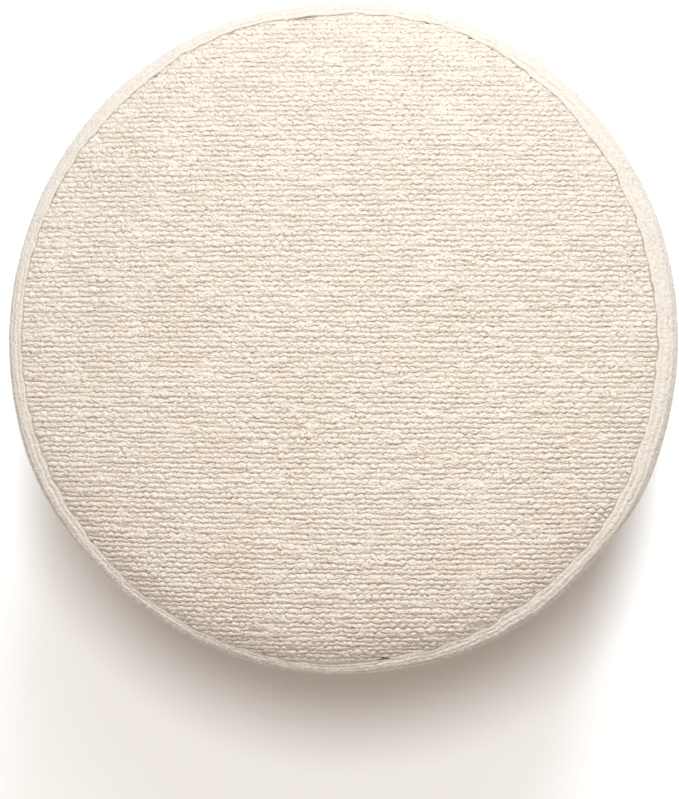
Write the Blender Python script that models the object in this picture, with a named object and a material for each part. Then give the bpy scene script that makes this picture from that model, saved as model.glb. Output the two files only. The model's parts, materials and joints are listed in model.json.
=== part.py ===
"""A round upholstered ottoman, cut and sewn from one looped cream cloth.

It is a padded drum on a flat base. A maker cuts three pieces of cloth: a round top panel, a side
band that goes once round the filling, and a round base panel. Each of them is one object here.

- side_band is the filled drum with the band drawn round it. It leans in to a seam at the top and
  at the bottom, and rises in a low roll beside the top seam, over the turned-in edges.
- top_panel is the crowned sheet of cloth over the filling, sewn to the band all round.
- base_panel is the flat sheet that closes the underside and stands on the floor.

The frame is in metres, +Z up, with the origin on the floor at the middle of the base.
Run it with: blender --background --python part.py
"""

import math
from dataclasses import dataclass

import bmesh
import bpy
from mathutils import Vector

# Driving dimensions, in metres.
WALL_RADIUS = 0.2460  # mean radius of the band at its widest
HEIGHT = 0.420  # floor to the top of the crown
SEAM_RADIUS = 0.2308  # mean radius of the top and base seams
CLOTH = 0.003  # thickness of the looped cloth
GAP = 0.0003  # clearance between two pieces that lie against each other

# How the padding lifts the top panel: three falls from its middle to its seam, each steeper.
DOME_FALL = 0.005  # an even dome over the whole panel
EDGE_FALL = 0.007  # the rounding over the edge of the padding
TUCK_FALL = 0.003  # the last tuck down into the seam
DOME_POWER = 2
EDGE_POWER = 8
TUCK_POWER = 36

# How the band runs between its two seams.
TOP_POWER = 8  # squareness of the upper shoulder: 2 is an ellipse, a high number a sharp corner
BASE_POWER = 14  # squareness of the turn into the base
ROLL_RISE = 0.0034  # lift of the band over the edges that are turned in at the top seam
ROLL_REACH = 0.010  # width of that roll, from the seam outwards
BASE_SEAM_HEIGHT = 0.0028  # the base seam, over the floor

# How finely the round forms are faceted.
STEPS_ROUND = 88
RINGS_ON_TOP = 11
RINGS_ON_BAND = 26
RINGS_ON_BASE = 3
SHARP_ANGLE = math.radians(40)


@dataclass(frozen=True)
class Unevenness:
    """A place where hand sewing or filling pushes the cloth off the true circle."""

    bearing: float  # degrees round from +X
    push: float  # metres outwards, or inwards if below zero
    spread: float  # degrees from the middle of the place to where it has faded out

    def at(self, bearing: float) -> float:
        """The push that is left at a bearing, in metres."""
        away = abs((bearing - self.bearing + 180) % 360 - 180)
        if away >= self.spread:
            return 0.0
        return self.push * (1 + math.cos(math.pi * away / self.spread)) / 2


# The filling under the band: full places and slack ones.
WALL_SWELLS = (
    Unevenness(bearing=0, push=-0.0013, spread=22),
    Unevenness(bearing=25, push=0.0006, spread=18),
    Unevenness(bearing=54, push=0.0024, spread=28),
    Unevenness(bearing=98, push=-0.0006, spread=16),
    Unevenness(bearing=165, push=-0.0029, spread=34),
    Unevenness(bearing=206, push=0.0020, spread=20),
    Unevenness(bearing=252, push=-0.0006, spread=14),
    Unevenness(bearing=277, push=-0.0014, spread=14),
    Unevenness(bearing=302, push=0.0012, spread=18),
    Unevenness(bearing=320, push=-0.0009, spread=9),
    Unevenness(bearing=332, push=0.0019, spread=14),
)

# The line of the seam: the cloth gives more across its yarns than along them, and the sewing drifts.
SEAM_OVAL = 0.0022  # how far the seam stands out along Y, across the yarns, and in along X
SEAM_DRIFTS = (
    Unevenness(bearing=8, push=-0.0020, spread=45),
    Unevenness(bearing=66, push=0.0020, spread=20),
    Unevenness(bearing=94, push=-0.0020, spread=16),
    Unevenness(bearing=134, push=-0.0012, spread=24),
    Unevenness(bearing=190, push=0.0006, spread=30),
    Unevenness(bearing=250, push=0.0017, spread=40),
    Unevenness(bearing=281, push=-0.0016, spread=10),
    Unevenness(bearing=325, push=0.0010, spread=25),
)
SHARE_AT_BASE = 0.4  # the cloth is this much as uneven at the floor as it is at the top

CLOTH_COLOUR = (0.80, 0.72, 0.60, 1.0)
BASE_COLOUR = (0.74, 0.67, 0.56, 1.0)
CLOTH_ROUGHNESS = 0.95


def clear_scene() -> None:
    """Removes every object that the scene starts with."""
    for obj in list(bpy.data.objects):
        bpy.data.objects.remove(obj)


def cloth_material(name: str, colour: tuple[float, float, float, float]) -> bpy.types.Material:
    """A matt woven cloth of one colour."""
    material = bpy.data.materials.new(name)
    material.use_nodes = True
    shader = material.node_tree.nodes["Principled BSDF"]
    shader.inputs["Base Color"].default_value = colour
    shader.inputs["Roughness"].default_value = CLOTH_ROUGHNESS
    shader.inputs["Metallic"].default_value = 0.0
    return material


def crown_height(radius: float) -> float:
    """Height of the top panel's outer face, at a radius from 0 to the seam."""
    share = min(1.0, radius / SEAM_RADIUS)
    dome = DOME_FALL * share**DOME_POWER
    edge = EDGE_FALL * share**EDGE_POWER
    tuck = TUCK_FALL * share**TUCK_POWER
    return HEIGHT - dome - edge - tuck


def crown_radii() -> list[float]:
    """The rings on the crown, from its middle to the seam, closer where it rounds over."""
    return [
        SEAM_RADIUS * math.sin(math.pi / 2 * ring / RINGS_ON_TOP)
        for ring in range(RINGS_ON_TOP + 1)
    ]


def band_outline() -> list[tuple[float, float]]:
    """(radius, height) down the band's outer face, from the top seam to the base seam."""
    top = crown_height(SEAM_RADIUS)
    middle = (top + BASE_SEAM_HEIGHT) / 2
    half = (top - BASE_SEAM_HEIGHT) / 2
    points = []
    for ring in range(RINGS_ON_BAND + 1):
        level = math.sin(math.pi / 2 * (1 - 2 * ring / RINGS_ON_BAND))
        power = TOP_POWER if level > 0 else BASE_POWER
        out = (WALL_RADIUS - SEAM_RADIUS) * math.sqrt(max(0.0, 1 - abs(level) ** power))
        height = middle + half * level
        if level > 0:
            height += ROLL_RISE * math.sin(math.pi * min(1.0, out / ROLL_REACH))
        points.append((SEAM_RADIUS + out, height))
    return points


def sewn(point: Vector) -> Vector:
    """Where the uneven sewing and filling hold a point of the true round form."""
    radius = math.hypot(point.x, point.y)
    if radius < GAP:
        return point
    bearing = math.atan2(point.y, point.x)
    drift = sum(place.at(math.degrees(bearing)) for place in SEAM_DRIFTS)
    drift -= SEAM_OVAL * math.cos(2 * bearing)
    swell = sum(place.at(math.degrees(bearing)) for place in WALL_SWELLS)
    outwards = min(1.0, max(0.0, (radius - SEAM_RADIUS) / (WALL_RADIUS - SEAM_RADIUS)))
    inwards = min(1.0, radius / SEAM_RADIUS) ** 2
    share = SHARE_AT_BASE + (1 - SHARE_AT_BASE) * point.z / HEIGHT
    push = share * inwards * (drift * (1 - outwards) + swell * outwards)
    stretch = 1 + push / radius
    return Vector((point.x * stretch, point.y * stretch, point.z))


def turned_piece(
    name: str, profile: list[tuple[float, float]], material: bpy.types.Material
) -> bpy.types.Object:
    """A closed solid: a profile of (radius, height) from axis to axis, turned and then sewn."""
    mesh = bmesh.new()
    corners = [mesh.verts.new((radius, 0.0, height)) for radius, height in profile]
    edges = [mesh.edges.new(pair) for pair in zip(corners, corners[1:])]
    bmesh.ops.spin(
        mesh,
        geom=corners + edges,
        axis=(0, 0, 1),
        cent=(0, 0, 0),
        angle=math.tau,
        steps=STEPS_ROUND,
        use_merge=True,
    )
    bmesh.ops.remove_doubles(mesh, verts=mesh.verts, dist=GAP / 10)
    for vertex in mesh.verts:
        vertex.co = sewn(vertex.co)
    bmesh.ops.recalc_face_normals(mesh, faces=mesh.faces)
    data = bpy.data.meshes.new(name)
    mesh.to_mesh(data)
    mesh.free()
    data.shade_smooth()
    data.set_sharp_from_angle(angle=SHARP_ANGLE)
    data.materials.append(material)
    obj = bpy.data.objects.new(name, data)
    bpy.context.scene.collection.objects.link(obj)
    return obj


def make_top_panel(material: bpy.types.Material) -> bpy.types.Object:
    """The crowned sheet: its outer face out to the seam, and its inner face back."""
    rim = SEAM_RADIUS - GAP / 2
    radii = [*crown_radii()[:-1], rim]
    outer = [(radius, crown_height(radius)) for radius in radii]
    inner = [(radius, height - CLOTH) for radius, height in reversed(outer)]
    return turned_piece("top_panel", outer + inner, material)


def make_side_band(material: bpy.types.Material) -> bpy.types.Object:
    """The filled drum: its crown under the top panel, the band's outer face, its flat underside."""
    ledge = SEAM_RADIUS + GAP / 2
    radii = [*crown_radii()[:-1], ledge]
    under_panel = [(radius, crown_height(radius) - CLOTH - GAP) for radius in radii]
    band = band_outline()
    band[0] = (ledge, band[0][1])
    band[-1] = (ledge, band[-1][1])
    over_base = [
        (ledge * (RINGS_ON_BASE - ring) / RINGS_ON_BASE, CLOTH + GAP)
        for ring in range(RINGS_ON_BASE + 1)
    ]
    return turned_piece("side_band", under_panel + band + over_base, material)


def make_base_panel(material: bpy.types.Material) -> bpy.types.Object:
    """The flat sheet under the drum, from its inner face to the face on the floor."""
    rim = SEAM_RADIUS - GAP / 2
    radii = [rim * ring / RINGS_ON_BASE for ring in range(RINGS_ON_BASE + 1)]
    inner = [(radius, CLOTH) for radius in radii]
    outer = [(radius, 0.0) for radius in reversed(radii)]
    return turned_piece("base_panel", inner + outer, material)


def main() -> None:
    """Builds the ottoman's three pieces of cloth."""
    clear_scene()
    looped_cloth = cloth_material("looped_cloth", CLOTH_COLOUR)
    base_cloth = cloth_material("base_cloth", BASE_COLOUR)
    make_side_band(looped_cloth)
    make_top_panel(looped_cloth)
    make_base_panel(base_cloth)


main()
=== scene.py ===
"""The looks of a round upholstered ottoman in cream looped cloth.

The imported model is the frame: a filled drum (side_band), the crowned sheet over it (top_panel) and
the flat sheet under it (base_panel). Here each of them gets its real cloth. The filling swells a
padded form, and the yarns are laid over it row by row: straight across the top panel, and round and
round on the side band. The two meet in a sewn furrow. A fuzz of loose fibres stands off them.

Everything is in metres, in the frame's axes. The yarns of the top panel run along X.
"""

import json
import logging
import math
import sys
from dataclasses import dataclass, field
from enum import Enum

import bmesh
import bpy
import numpy as np
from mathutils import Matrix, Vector
from mathutils.bvhtree import BVHTree

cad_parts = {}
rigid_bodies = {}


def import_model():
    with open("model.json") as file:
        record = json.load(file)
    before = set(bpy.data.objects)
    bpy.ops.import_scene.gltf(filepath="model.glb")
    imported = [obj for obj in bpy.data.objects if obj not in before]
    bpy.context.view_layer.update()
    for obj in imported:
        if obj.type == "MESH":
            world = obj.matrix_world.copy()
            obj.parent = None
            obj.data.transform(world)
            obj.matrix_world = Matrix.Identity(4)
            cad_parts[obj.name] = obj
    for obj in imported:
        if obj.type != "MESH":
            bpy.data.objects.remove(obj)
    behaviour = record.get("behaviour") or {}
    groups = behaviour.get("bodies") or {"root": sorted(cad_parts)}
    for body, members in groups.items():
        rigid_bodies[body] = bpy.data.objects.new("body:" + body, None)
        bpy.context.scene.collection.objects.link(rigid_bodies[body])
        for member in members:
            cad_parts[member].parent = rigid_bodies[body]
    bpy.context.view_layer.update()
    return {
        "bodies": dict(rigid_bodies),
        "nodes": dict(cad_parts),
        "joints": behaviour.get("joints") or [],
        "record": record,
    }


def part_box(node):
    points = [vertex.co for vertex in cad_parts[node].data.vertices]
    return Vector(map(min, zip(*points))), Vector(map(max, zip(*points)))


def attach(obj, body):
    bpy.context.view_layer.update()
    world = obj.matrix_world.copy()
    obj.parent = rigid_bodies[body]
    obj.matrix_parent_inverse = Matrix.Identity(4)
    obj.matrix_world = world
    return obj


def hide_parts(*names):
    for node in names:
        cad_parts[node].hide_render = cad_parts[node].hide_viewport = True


LOG = logging.getLogger("ottoman")
MM = 0.001
TURN = 2 * math.pi
BODY = "root"
WEAVE = "weave"  # the attribute that holds a point's place in the cloth
TRAITS = "traits"  # the one that holds its tone (painted shade in furrows and seams), its distance from a seam, and how far its loops are worn smooth, which also sets its painted sheen
NO_SEAM = 1.0  # a distance from any seam at which it no longer matters
CLOTH = 3 * MM  # thickness of the looped cloth
TOP_FIBRES = 20000  # the loose fibres on the top panel
RIM_FIBRES = 62000  # and those on the band's first rows
FUZZY_ROWS = 12  # how many rows of the band they stand on


class Look(Enum):
    """How much of the slow work a run does."""

    FULL = "full"
    QUICK = "quick"


def smoothstep(low: float, high: float, value: np.ndarray) -> np.ndarray:
    """Rises smoothly from 0 at low to 1 at high.

    Args:
        low: the value at which the rise begins.
        high: the value at which it ends.
        value: the values to look up.

    Returns:
        The rise at each value.
    """
    share = np.clip((value - low) / (high - low), 0.0, 1.0)
    return share * share * (3 - 2 * share)


class Chance:
    """Random fields that are the same on each run."""

    def __init__(self, seed: int) -> None:
        """Starts a source of its own for one piece of work."""
        self.source = np.random.default_rng(seed)

    def field(self, shape: tuple[int, int], rows: float, columns: float) -> np.ndarray:
        """A smooth random field, about 1 strong, which repeats at its edges.

        Args:
            shape: the number of rows and columns.
            rows: how far it is blurred from row to row, in cells.
            columns: how far it is blurred along a row, in cells.

        Returns:
            An array of that shape, with a mean of 0.
        """
        return self._unit(self._blur(self.source.standard_normal(shape), rows, columns))

    def specks(self, shape: tuple[int, int], share: float, rows: float, columns: float) -> np.ndarray:
        """Soft bumps at random places, each about 1 high.

        Args:
            shape: the number of rows and columns.
            share: the share of the cells that have a bump at their middle.
            rows: the bump's spread from row to row, in cells.
            columns: the bump's spread along a row, in cells.

        Returns:
            An array of that shape, 0 between the bumps.
        """
        seeds = (self.source.random(shape) < share) * self.source.uniform(0.6, 1.2, shape)
        return self._blur(seeds, rows, columns) * TURN * max(rows, 0.4) * columns

    @staticmethod
    def _blur(values: np.ndarray, rows: float, columns: float) -> np.ndarray:
        """Gaussian blur that wraps round both edges.

        Args:
            values: the field to blur.
            rows: how far it is blurred from row to row, in cells.
            columns: how far it is blurred along a row, in cells.

        Returns:
            The blurred field.
        """
        across = np.fft.fftfreq(values.shape[0])[:, None]
        along = np.fft.rfftfreq(values.shape[1])[None, :]
        keep = np.exp(-2 * math.pi**2 * ((rows * across) ** 2 + (columns * along) ** 2))
        return np.fft.irfft2(np.fft.rfft2(values) * keep, s=values.shape)

    @staticmethod
    def _unit(values: np.ndarray) -> np.ndarray:
        """The same field with a mean of 0 and a spread of 1."""
        return (values - values.mean()) / values.std()


class MeshWork:
    """Points and triangles that are gathered piece by piece into one mesh."""

    def __init__(self) -> None:
        """Starts with nothing."""
        self.points: list[np.ndarray] = []
        self.places: list[np.ndarray] = []
        self.traits: list[np.ndarray] = []
        self.triangles: list[np.ndarray] = []
        self.folds: list[np.ndarray] = []
        self.count = 0

    def add_line(
        self,
        points: np.ndarray,
        places: np.ndarray,
        tone: np.ndarray | float = 0.0,
        edge: np.ndarray | float = NO_SEAM,
        brushed_and_sheen: float = 0.0,
    ) -> np.ndarray:
        """Adds a line of points.

        Args:
            points: the points, one to a row.
            places: each point's place in the cloth, for the attribute.
            tone: how pale the yarn is, or below 0, how dark: the painted shade of its furrows and seams.
            edge: how far the nearest seam is.
            brushed_and_sheen: how far the yarn's loops are worn smooth and how much painted sheen it gets,
                from 0 to 1.

        Returns:
            The points' numbers in the mesh.
        """
        numbers = np.arange(self.count, self.count + len(points))
        self.points.append(points)
        self.places.append(places)
        blank = np.zeros(len(points))
        self.traits.append(np.stack([blank + tone, blank + edge, blank + brushed_and_sheen], axis=1))
        self.count += len(points)
        return numbers

    def zip_lines(
        self, lower: np.ndarray, lower_at: np.ndarray, upper: np.ndarray, upper_at: np.ndarray
    ) -> None:
        """Fills the strip between two lines of points, which may differ in number.

        Args:
            lower: the numbers of one line's points.
            lower_at: how far along each of them is, rising.
            upper: the numbers of the other line's points.
            upper_at: how far along each of those is, rising.
        """
        lower_middle = (lower_at[:-1] + lower_at[1:]) / 2
        upper_middle = (upper_at[:-1] + upper_at[1:]) / 2
        facing_upper = upper[np.searchsorted(upper_middle, lower_middle, side="left")]
        facing_lower = lower[np.searchsorted(lower_middle, upper_middle, side="right")]
        self.triangles.append(np.stack([lower[:-1], lower[1:], facing_upper], axis=1))
        self.triangles.append(np.stack([upper[1:], upper[:-1], facing_lower], axis=1))

    def zip_round(
        self, outer: np.ndarray, outer_at: np.ndarray, inner: np.ndarray, inner_at: np.ndarray
    ) -> None:
        """Fills the strip between two closed rings, which may differ in number.

        Args:
            outer: the numbers of one ring's points.
            outer_at: the bearing of each of them, rising.
            inner: the numbers of the other ring's points.
            inner_at: the bearing of each of those, rising.
        """
        self.zip_lines(
            np.append(outer, outer[0]),
            np.append(outer_at, outer_at[0] + TURN),
            np.append(inner, inner[0]),
            np.append(inner_at, inner_at[0] + TURN),
        )

    def add_fan(self, ring: np.ndarray, middle: np.ndarray) -> None:
        """Closes a ring to one point in its middle."""
        centre = self.add_line(middle, middle)
        self.triangles.append(np.stack([ring, np.roll(ring, -1), np.full_like(ring, centre[0])], axis=1))

    def make(self, name: str) -> bpy.types.Object:
        """Makes the object, closed and facing outwards.

        Args:
            name: the object's name.

        Returns:
            The new object, smooth shaded, with its points' places and traits as attributes.
        """
        data = bpy.data.meshes.new(name)
        triangles = np.concatenate(self.triangles)
        data.from_pydata(np.concatenate(self.points).tolist(), [], triangles.tolist())
        for attribute, values in ((WEAVE, self.places), (TRAITS, self.traits)):
            layer = data.attributes.new(attribute, "FLOAT_VECTOR", "POINT")
            layer.data.foreach_set("vector", np.concatenate(values).astype(np.float32).ravel())
        work = bmesh.new()
        work.from_mesh(data)
        bmesh.ops.recalc_face_normals(work, faces=work.faces)
        work.to_mesh(data)
        work.free()
        data.shade_smooth()
        if self.folds:
            folded = np.zeros(self.count, bool)
            folded[np.concatenate(self.folds)] = True
            ends = np.zeros(2 * len(data.edges), np.int32)
            data.edges.foreach_get("vertices", ends)
            sharp = folded[ends.reshape(-1, 2)].all(axis=1)
            data.attributes.new("sharp_edge", "BOOLEAN", "EDGE").data.foreach_set("value", sharp)
        obj = bpy.data.objects.new(name, data)
        bpy.context.scene.collection.objects.link(obj)
        return obj


class Outline:
    """How far out a round CAD node reaches, all the way round."""

    COLUMNS = 88  # the columns of points that the frame's round nodes have
    WAVES = 22  # the finest unevenness that is kept
    SAMPLES = 2048
    WOBBLE_LENGTH = 4.5  # spread of one stray loop, in samples

    def __init__(
        self, node: bpy.types.Object, ease: float = 0.0, wobble: float = 0.0, shift: float = 0.0
    ) -> None:
        """Reads the node's reach in each of its columns, and smooths between them.

        Args:
            node: a round CAD node.
            ease: how much further out than the node the outline lies.
            wobble: how far it strays from loop to loop.
            shift: how far the filling has gone over towards +X.
        """
        flat = np.zeros(len(node.data.vertices) * 3, np.float32)
        node.data.vertices.foreach_get("co", flat)
        points = flat.reshape(-1, 3)
        bearing = np.arctan2(points[:, 1], points[:, 0])
        column = np.round(bearing / TURN * self.COLUMNS).astype(int) % self.COLUMNS
        reach = np.zeros(self.COLUMNS)
        np.maximum.at(reach, column, np.hypot(points[:, 0], points[:, 1]))
        waves = np.fft.rfft(reach)[: self.WAVES]
        self.table = np.fft.irfft(waves, n=self.SAMPLES) * self.SAMPLES / self.COLUMNS + ease
        self.table += wobble * Chance(3).field((1, self.SAMPLES), 0.0, self.WOBBLE_LENGTH)[0]
        self.bearings = np.arange(self.SAMPLES) * TURN / self.SAMPLES
        self.table += shift * np.cos(self.bearings)
        self.mean = float(reach.mean()) + ease

    def at(self, bearing: np.ndarray) -> np.ndarray:
        """The reach at each bearing, in metres."""
        return np.interp(bearing, self.bearings, self.table, period=TURN)


@dataclass
class DrumShape:
    """The drum's smooth form, without its yarns: sizes as in the frame."""

    height: float  # floor to the top of the crown
    seam_height: float  # floor to the top seam
    seam: Outline  # where the top panel ends
    wall: Outline  # where the band is widest
    fullness: float = 6.5 * MM  # how much fuller the padding is than the frame's
    dome_share: float = 0.24  # the even dome's share of the crown's whole fall, along Y
    edge_share: float = 0.69  # that of the rounding over the padding's edge; along X it's dome too
    edge_power: float = 8.5
    tuck_power: float = 36.0
    give_power: float = 1.4  # how soon the edge's rounding turns into dome, from Y towards X
    slump: float = 4.5 * MM  # how much of the padding has gone over from +Y to -Y, near the seam
    top_power: float = 60.0  # squareness of the upper shoulder
    base_power: float = 14.0  # squareness of the turn into the base
    roll_rise: float = -0.5 * MM  # lift of the band beside the seam, or below 0, its fall
    roll_reach: float = 10 * MM
    belly: float = 4.4 * MM  # how much further out the band is halfway down than at its shoulder
    base_seam_height: float = 2.8 * MM
    base_unevenness: float = 0.4  # the share of the unevenness that is left at the floor

    def crown(self, share: np.ndarray, bearing: np.ndarray) -> np.ndarray:
        """Height of the top panel, which gives more across its yarns than along them.

        Args:
            share: the share of the way from its middle to its seam.
            bearing: the direction from its middle, in radians.

        Returns:
            The height over the floor.
        """
        across = np.abs(np.sin(bearing)) ** self.give_power
        edge_share = self.edge_share * across
        dome_share = self.dome_share + self.edge_share - edge_share
        fall = dome_share * share**2 + edge_share * share**self.edge_power
        fall = fall + (1 - dome_share - edge_share) * share**self.tuck_power
        slump = self.slump * np.sin(bearing) * (share**3 - share**13)
        top = self.height + self.fullness
        return top - (top - self.seam_height) * fall - slump

    def band_profile(self, level: np.ndarray) -> tuple[np.ndarray, np.ndarray]:
        """The band's mean section.

        Args:
            level: 1 at the top seam, 0 halfway down and -1 at the base seam.

        Returns:
            How far outside the seam the band is, and its height.
        """
        power = np.where(level > 0, self.top_power, self.base_power)
        depth = self.wall.mean - self.seam.mean
        out = depth * np.sqrt(np.clip(1 - np.abs(level) ** power, 0, 1))
        out = out + self.belly * np.clip(1 - level**2, 0, 1) ** 1.5
        middle = (self.seam_height + self.base_seam_height) / 2
        roll = self.roll_rise * np.sin(math.pi * np.clip(out / self.roll_reach, 0, 1))
        height = middle + (self.seam_height - middle) * level + np.where(level > 0, roll, 0)
        return out, height

    def band_radius(self, bearing: np.ndarray, out: np.ndarray, height: np.ndarray) -> np.ndarray:
        """The band's distance from the axis, with its unevenness.

        Args:
            bearing: the direction from the axis, in radians.
            out: how far outside the seam the mean section is there.
            height: the height over the floor.

        Returns:
            The distance, in metres.
        """
        share = self.base_unevenness + (1 - self.base_unevenness) * height / self.height
        outwards = np.clip(out / (self.wall.mean - self.seam.mean), 0, 1)
        drift = self.seam.at(bearing) - self.seam.mean
        swell = self.wall.at(bearing) - self.wall.mean
        return self.seam.mean + out + share * (drift * (1 - outwards) + swell * outwards)


@dataclass
class Padding:
    """The filling: it swells an even form of the drum, held at its seams and its base."""

    shape: DrumShape
    voxel: float = 6 * MM
    pressure: float = 4.0
    frames: int = 20
    most: float = 6 * MM  # how far the filling may push the cloth off the frame's form
    fade: float = 6 * MM  # the swelling dies away over this distance from a seam
    top_reach: float = 0.98  # the share of the panel that the rays measure, and of the band
    band_reach: float = 0.94
    rings: int = 24
    columns: int = 72
    levels: int = 40
    lift_table: np.ndarray = field(init=False)
    swell_table: np.ndarray = field(init=False)

    def __post_init__(self) -> None:
        """Starts with a form that isn't swollen at all."""
        self.lift_table = np.zeros((self.rings, self.columns))
        self.swell_table = np.zeros((self.levels, self.columns))

    def swell_up(self, nodes: list[bpy.types.Object]) -> None:
        """Simulates the filling and keeps how far it pushes the cloth.

        Args:
            nodes: the CAD nodes that make up the drum.
        """
        form = self._form(nodes)
        before = BVHTree.FromObject(form, bpy.context.evaluated_depsgraph_get())
        self._simulate(form)
        after = BVHTree.FromObject(form, bpy.context.evaluated_depsgraph_get())
        self._measure(before, after)
        data = form.data
        bpy.data.objects.remove(form)
        bpy.data.meshes.remove(data)

    def _form(self, nodes: list[bpy.types.Object]) -> bpy.types.Object:
        """Makes one closed, evenly meshed form of the drum, as large as the frame's.

        Args:
            nodes: the CAD nodes that make up the drum.

        Returns:
            The form, as an object of its own.
        """
        work = bmesh.new()
        for node in nodes:
            work.from_mesh(node.data)
        bmesh.ops.remove_doubles(work, verts=work.verts, dist=0.01 * MM)
        data = bpy.data.meshes.new("padded_form")
        work.to_mesh(data)
        work.free()
        form = bpy.data.objects.new("padded_form", data)
        bpy.context.scene.collection.objects.link(form)
        remesh = form.modifiers.new("even", "REMESH")
        remesh.mode = "VOXEL"
        remesh.voxel_size = self.voxel
        apply_all(form)
        return form

    def _simulate(self, form: bpy.types.Object) -> None:
        """Blows the form up under pressure, with its seams and its base held.

        Args:
            form: the evenly meshed form, which is changed.
        """
        held = form.vertex_groups.new(name="held")
        for vertex in form.data.vertices:
            radius = math.hypot(vertex.co.x, vertex.co.y)
            at_seam = abs(radius - self.shape.seam.mean) < 0.75 * self.voxel
            near_top = vertex.co.z > self.shape.seam_height - 3 * self.voxel
            if vertex.co.z < 2 * self.voxel or (at_seam and near_top):
                held.add([vertex.index], 1.0, "REPLACE")
        cloth = form.modifiers.new("filling", "CLOTH")
        cloth.settings.vertex_group_mass = held.name
        cloth.settings.use_pressure = True
        cloth.settings.uniform_pressure_force = self.pressure
        cloth.settings.effector_weights.gravity = 0.0
        cloth.point_cache.frame_start = 1
        cloth.point_cache.frame_end = self.frames
        scene = bpy.context.scene
        for frame in range(1, self.frames + 1):
            scene.frame_set(frame)
        apply_all(form)
        scene.frame_set(1)
        finer = form.modifiers.new("finer", "SUBSURF")
        finer.levels = 1
        finer.render_levels = 1
        apply_all(form)

    def _measure(self, before: BVHTree, after: BVHTree) -> None:
        """Fills both tables with how far the swollen form stands off the frame's.

        Args:
            before: the form as it was.
            after: the swollen form.
        """
        bearings = np.arange(self.columns) * TURN / self.columns
        down = Vector((0, 0, -1))
        for ring in range(self.rings):
            for column, bearing in enumerate(bearings):
                radius = self.shape.seam.at(bearing) * ring / (self.rings - 1) * self.top_reach
                start = Vector((radius * math.cos(bearing), radius * math.sin(bearing), 1.0))
                inner = self._hit(before, start, down)
                self.lift_table[ring, column] = inner - self._hit(after, start, down)
            edge = self.shape.seam.mean * (1 - ring / (self.rings - 1))
            self.lift_table[ring] = self._kept(self.lift_table[ring], edge)
        for step, level in enumerate(np.linspace(1, -1, self.levels)):
            height = float(self.shape.band_profile(np.array(level * self.band_reach))[1])
            for column, bearing in enumerate(bearings):
                start = Vector((math.cos(bearing), math.sin(bearing), height))
                inwards = Vector((-math.cos(bearing), -math.sin(bearing), 0))
                inner = self._hit(before, start, inwards)
                self.swell_table[step, column] = inner - self._hit(after, start, inwards)
            edge = min(1 - level, 1 + level) * self.shape.height / 2
            self.swell_table[step] = self._kept(self.swell_table[step], edge)

    def _hit(self, tree: BVHTree, start: Vector, way: Vector) -> float:
        """How far a ray goes before it meets a surface."""
        distance = tree.ray_cast(start, way)[3]
        return 1.0 if distance is None else distance

    def _kept(self, push: np.ndarray, edge: float) -> np.ndarray:
        """The push that is kept: outwards only, softly capped, and none at a seam."""
        fade = float(smoothstep(0, self.fade, np.array(edge)))
        return self.most * np.tanh(np.maximum(push, 0) / self.most) * fade

    def lift(self, share: np.ndarray, bearing: np.ndarray) -> np.ndarray:
        """How far the filling lifts the top panel.

        Args:
            share: the share of the way from the panel's middle to its seam.
            bearing: the direction from the middle, in radians.

        Returns:
            The lift, in metres.
        """
        return self._read(self.lift_table, share, bearing)

    def swell(self, level: np.ndarray, bearing: np.ndarray) -> np.ndarray:
        """How far the filling pushes the band out.

        Args:
            level: 1 at the top seam and -1 at the base seam.
            bearing: the direction from the axis, in radians.

        Returns:
            The push, in metres.
        """
        return self._read(self.swell_table, (1 - level) / 2, bearing)

    @staticmethod
    def _read(table: np.ndarray, share: np.ndarray, bearing: np.ndarray) -> np.ndarray:
        """Looks a table up smoothly.

        Args:
            table: values in rows from 0 to 1 and in columns once round.
            share: where between the first row and the last.
            bearing: where round, in radians.

        Returns:
            The table's value at each place.
        """
        rows, columns = table.shape
        row = np.clip(share, 0, 1) * (rows - 1)
        low = np.minimum(row.astype(int), rows - 2)
        part = smoothstep(0, 1, row - low)
        column = (bearing % TURN) / TURN * columns
        left = column.astype(int) % columns
        right = (left + 1) % columns
        side = smoothstep(0, 1, column - np.floor(column))
        upper = table[low, left] * (1 - side) + table[low, right] * side
        lower = table[low + 1, left] * (1 - side) + table[low + 1, right] * side
        return upper * (1 - part) + lower * part


def deselect() -> None:
    """Leaves nothing selected."""
    for obj in bpy.context.selected_objects:
        obj.select_set(False)


def apply_all(obj: bpy.types.Object) -> None:
    """Applies an object's modifiers in turn.

    Args:
        obj: the object, which is left with none.
    """
    deselect()
    bpy.context.view_layer.objects.active = obj
    obj.select_set(True)
    for modifier in list(obj.modifiers):
        bpy.ops.object.modifier_apply(modifier=modifier.name)
    deselect()


@dataclass
class Relief:
    """The relief of a stretch of cloth: its lines of points, and where its loops are."""

    stray: np.ndarray  # how far each line strays sideways, three lines to a row and one at the end
    height: np.ndarray  # how high it stands
    tone: np.ndarray  # painted shade of its furrow, from 0 down to -1 at the darkest
    loops: np.ndarray  # for each row, how many loops lie before each point of it

    def middles(self, row: int) -> np.ndarray:
        """How many loops lie before the middle of each loop in a row."""
        first, last = self.loops[row][0] - 0.5, self.loops[row][-1] - 0.5
        return np.arange(math.ceil(first), math.floor(last) + 1) + 0.5


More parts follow.
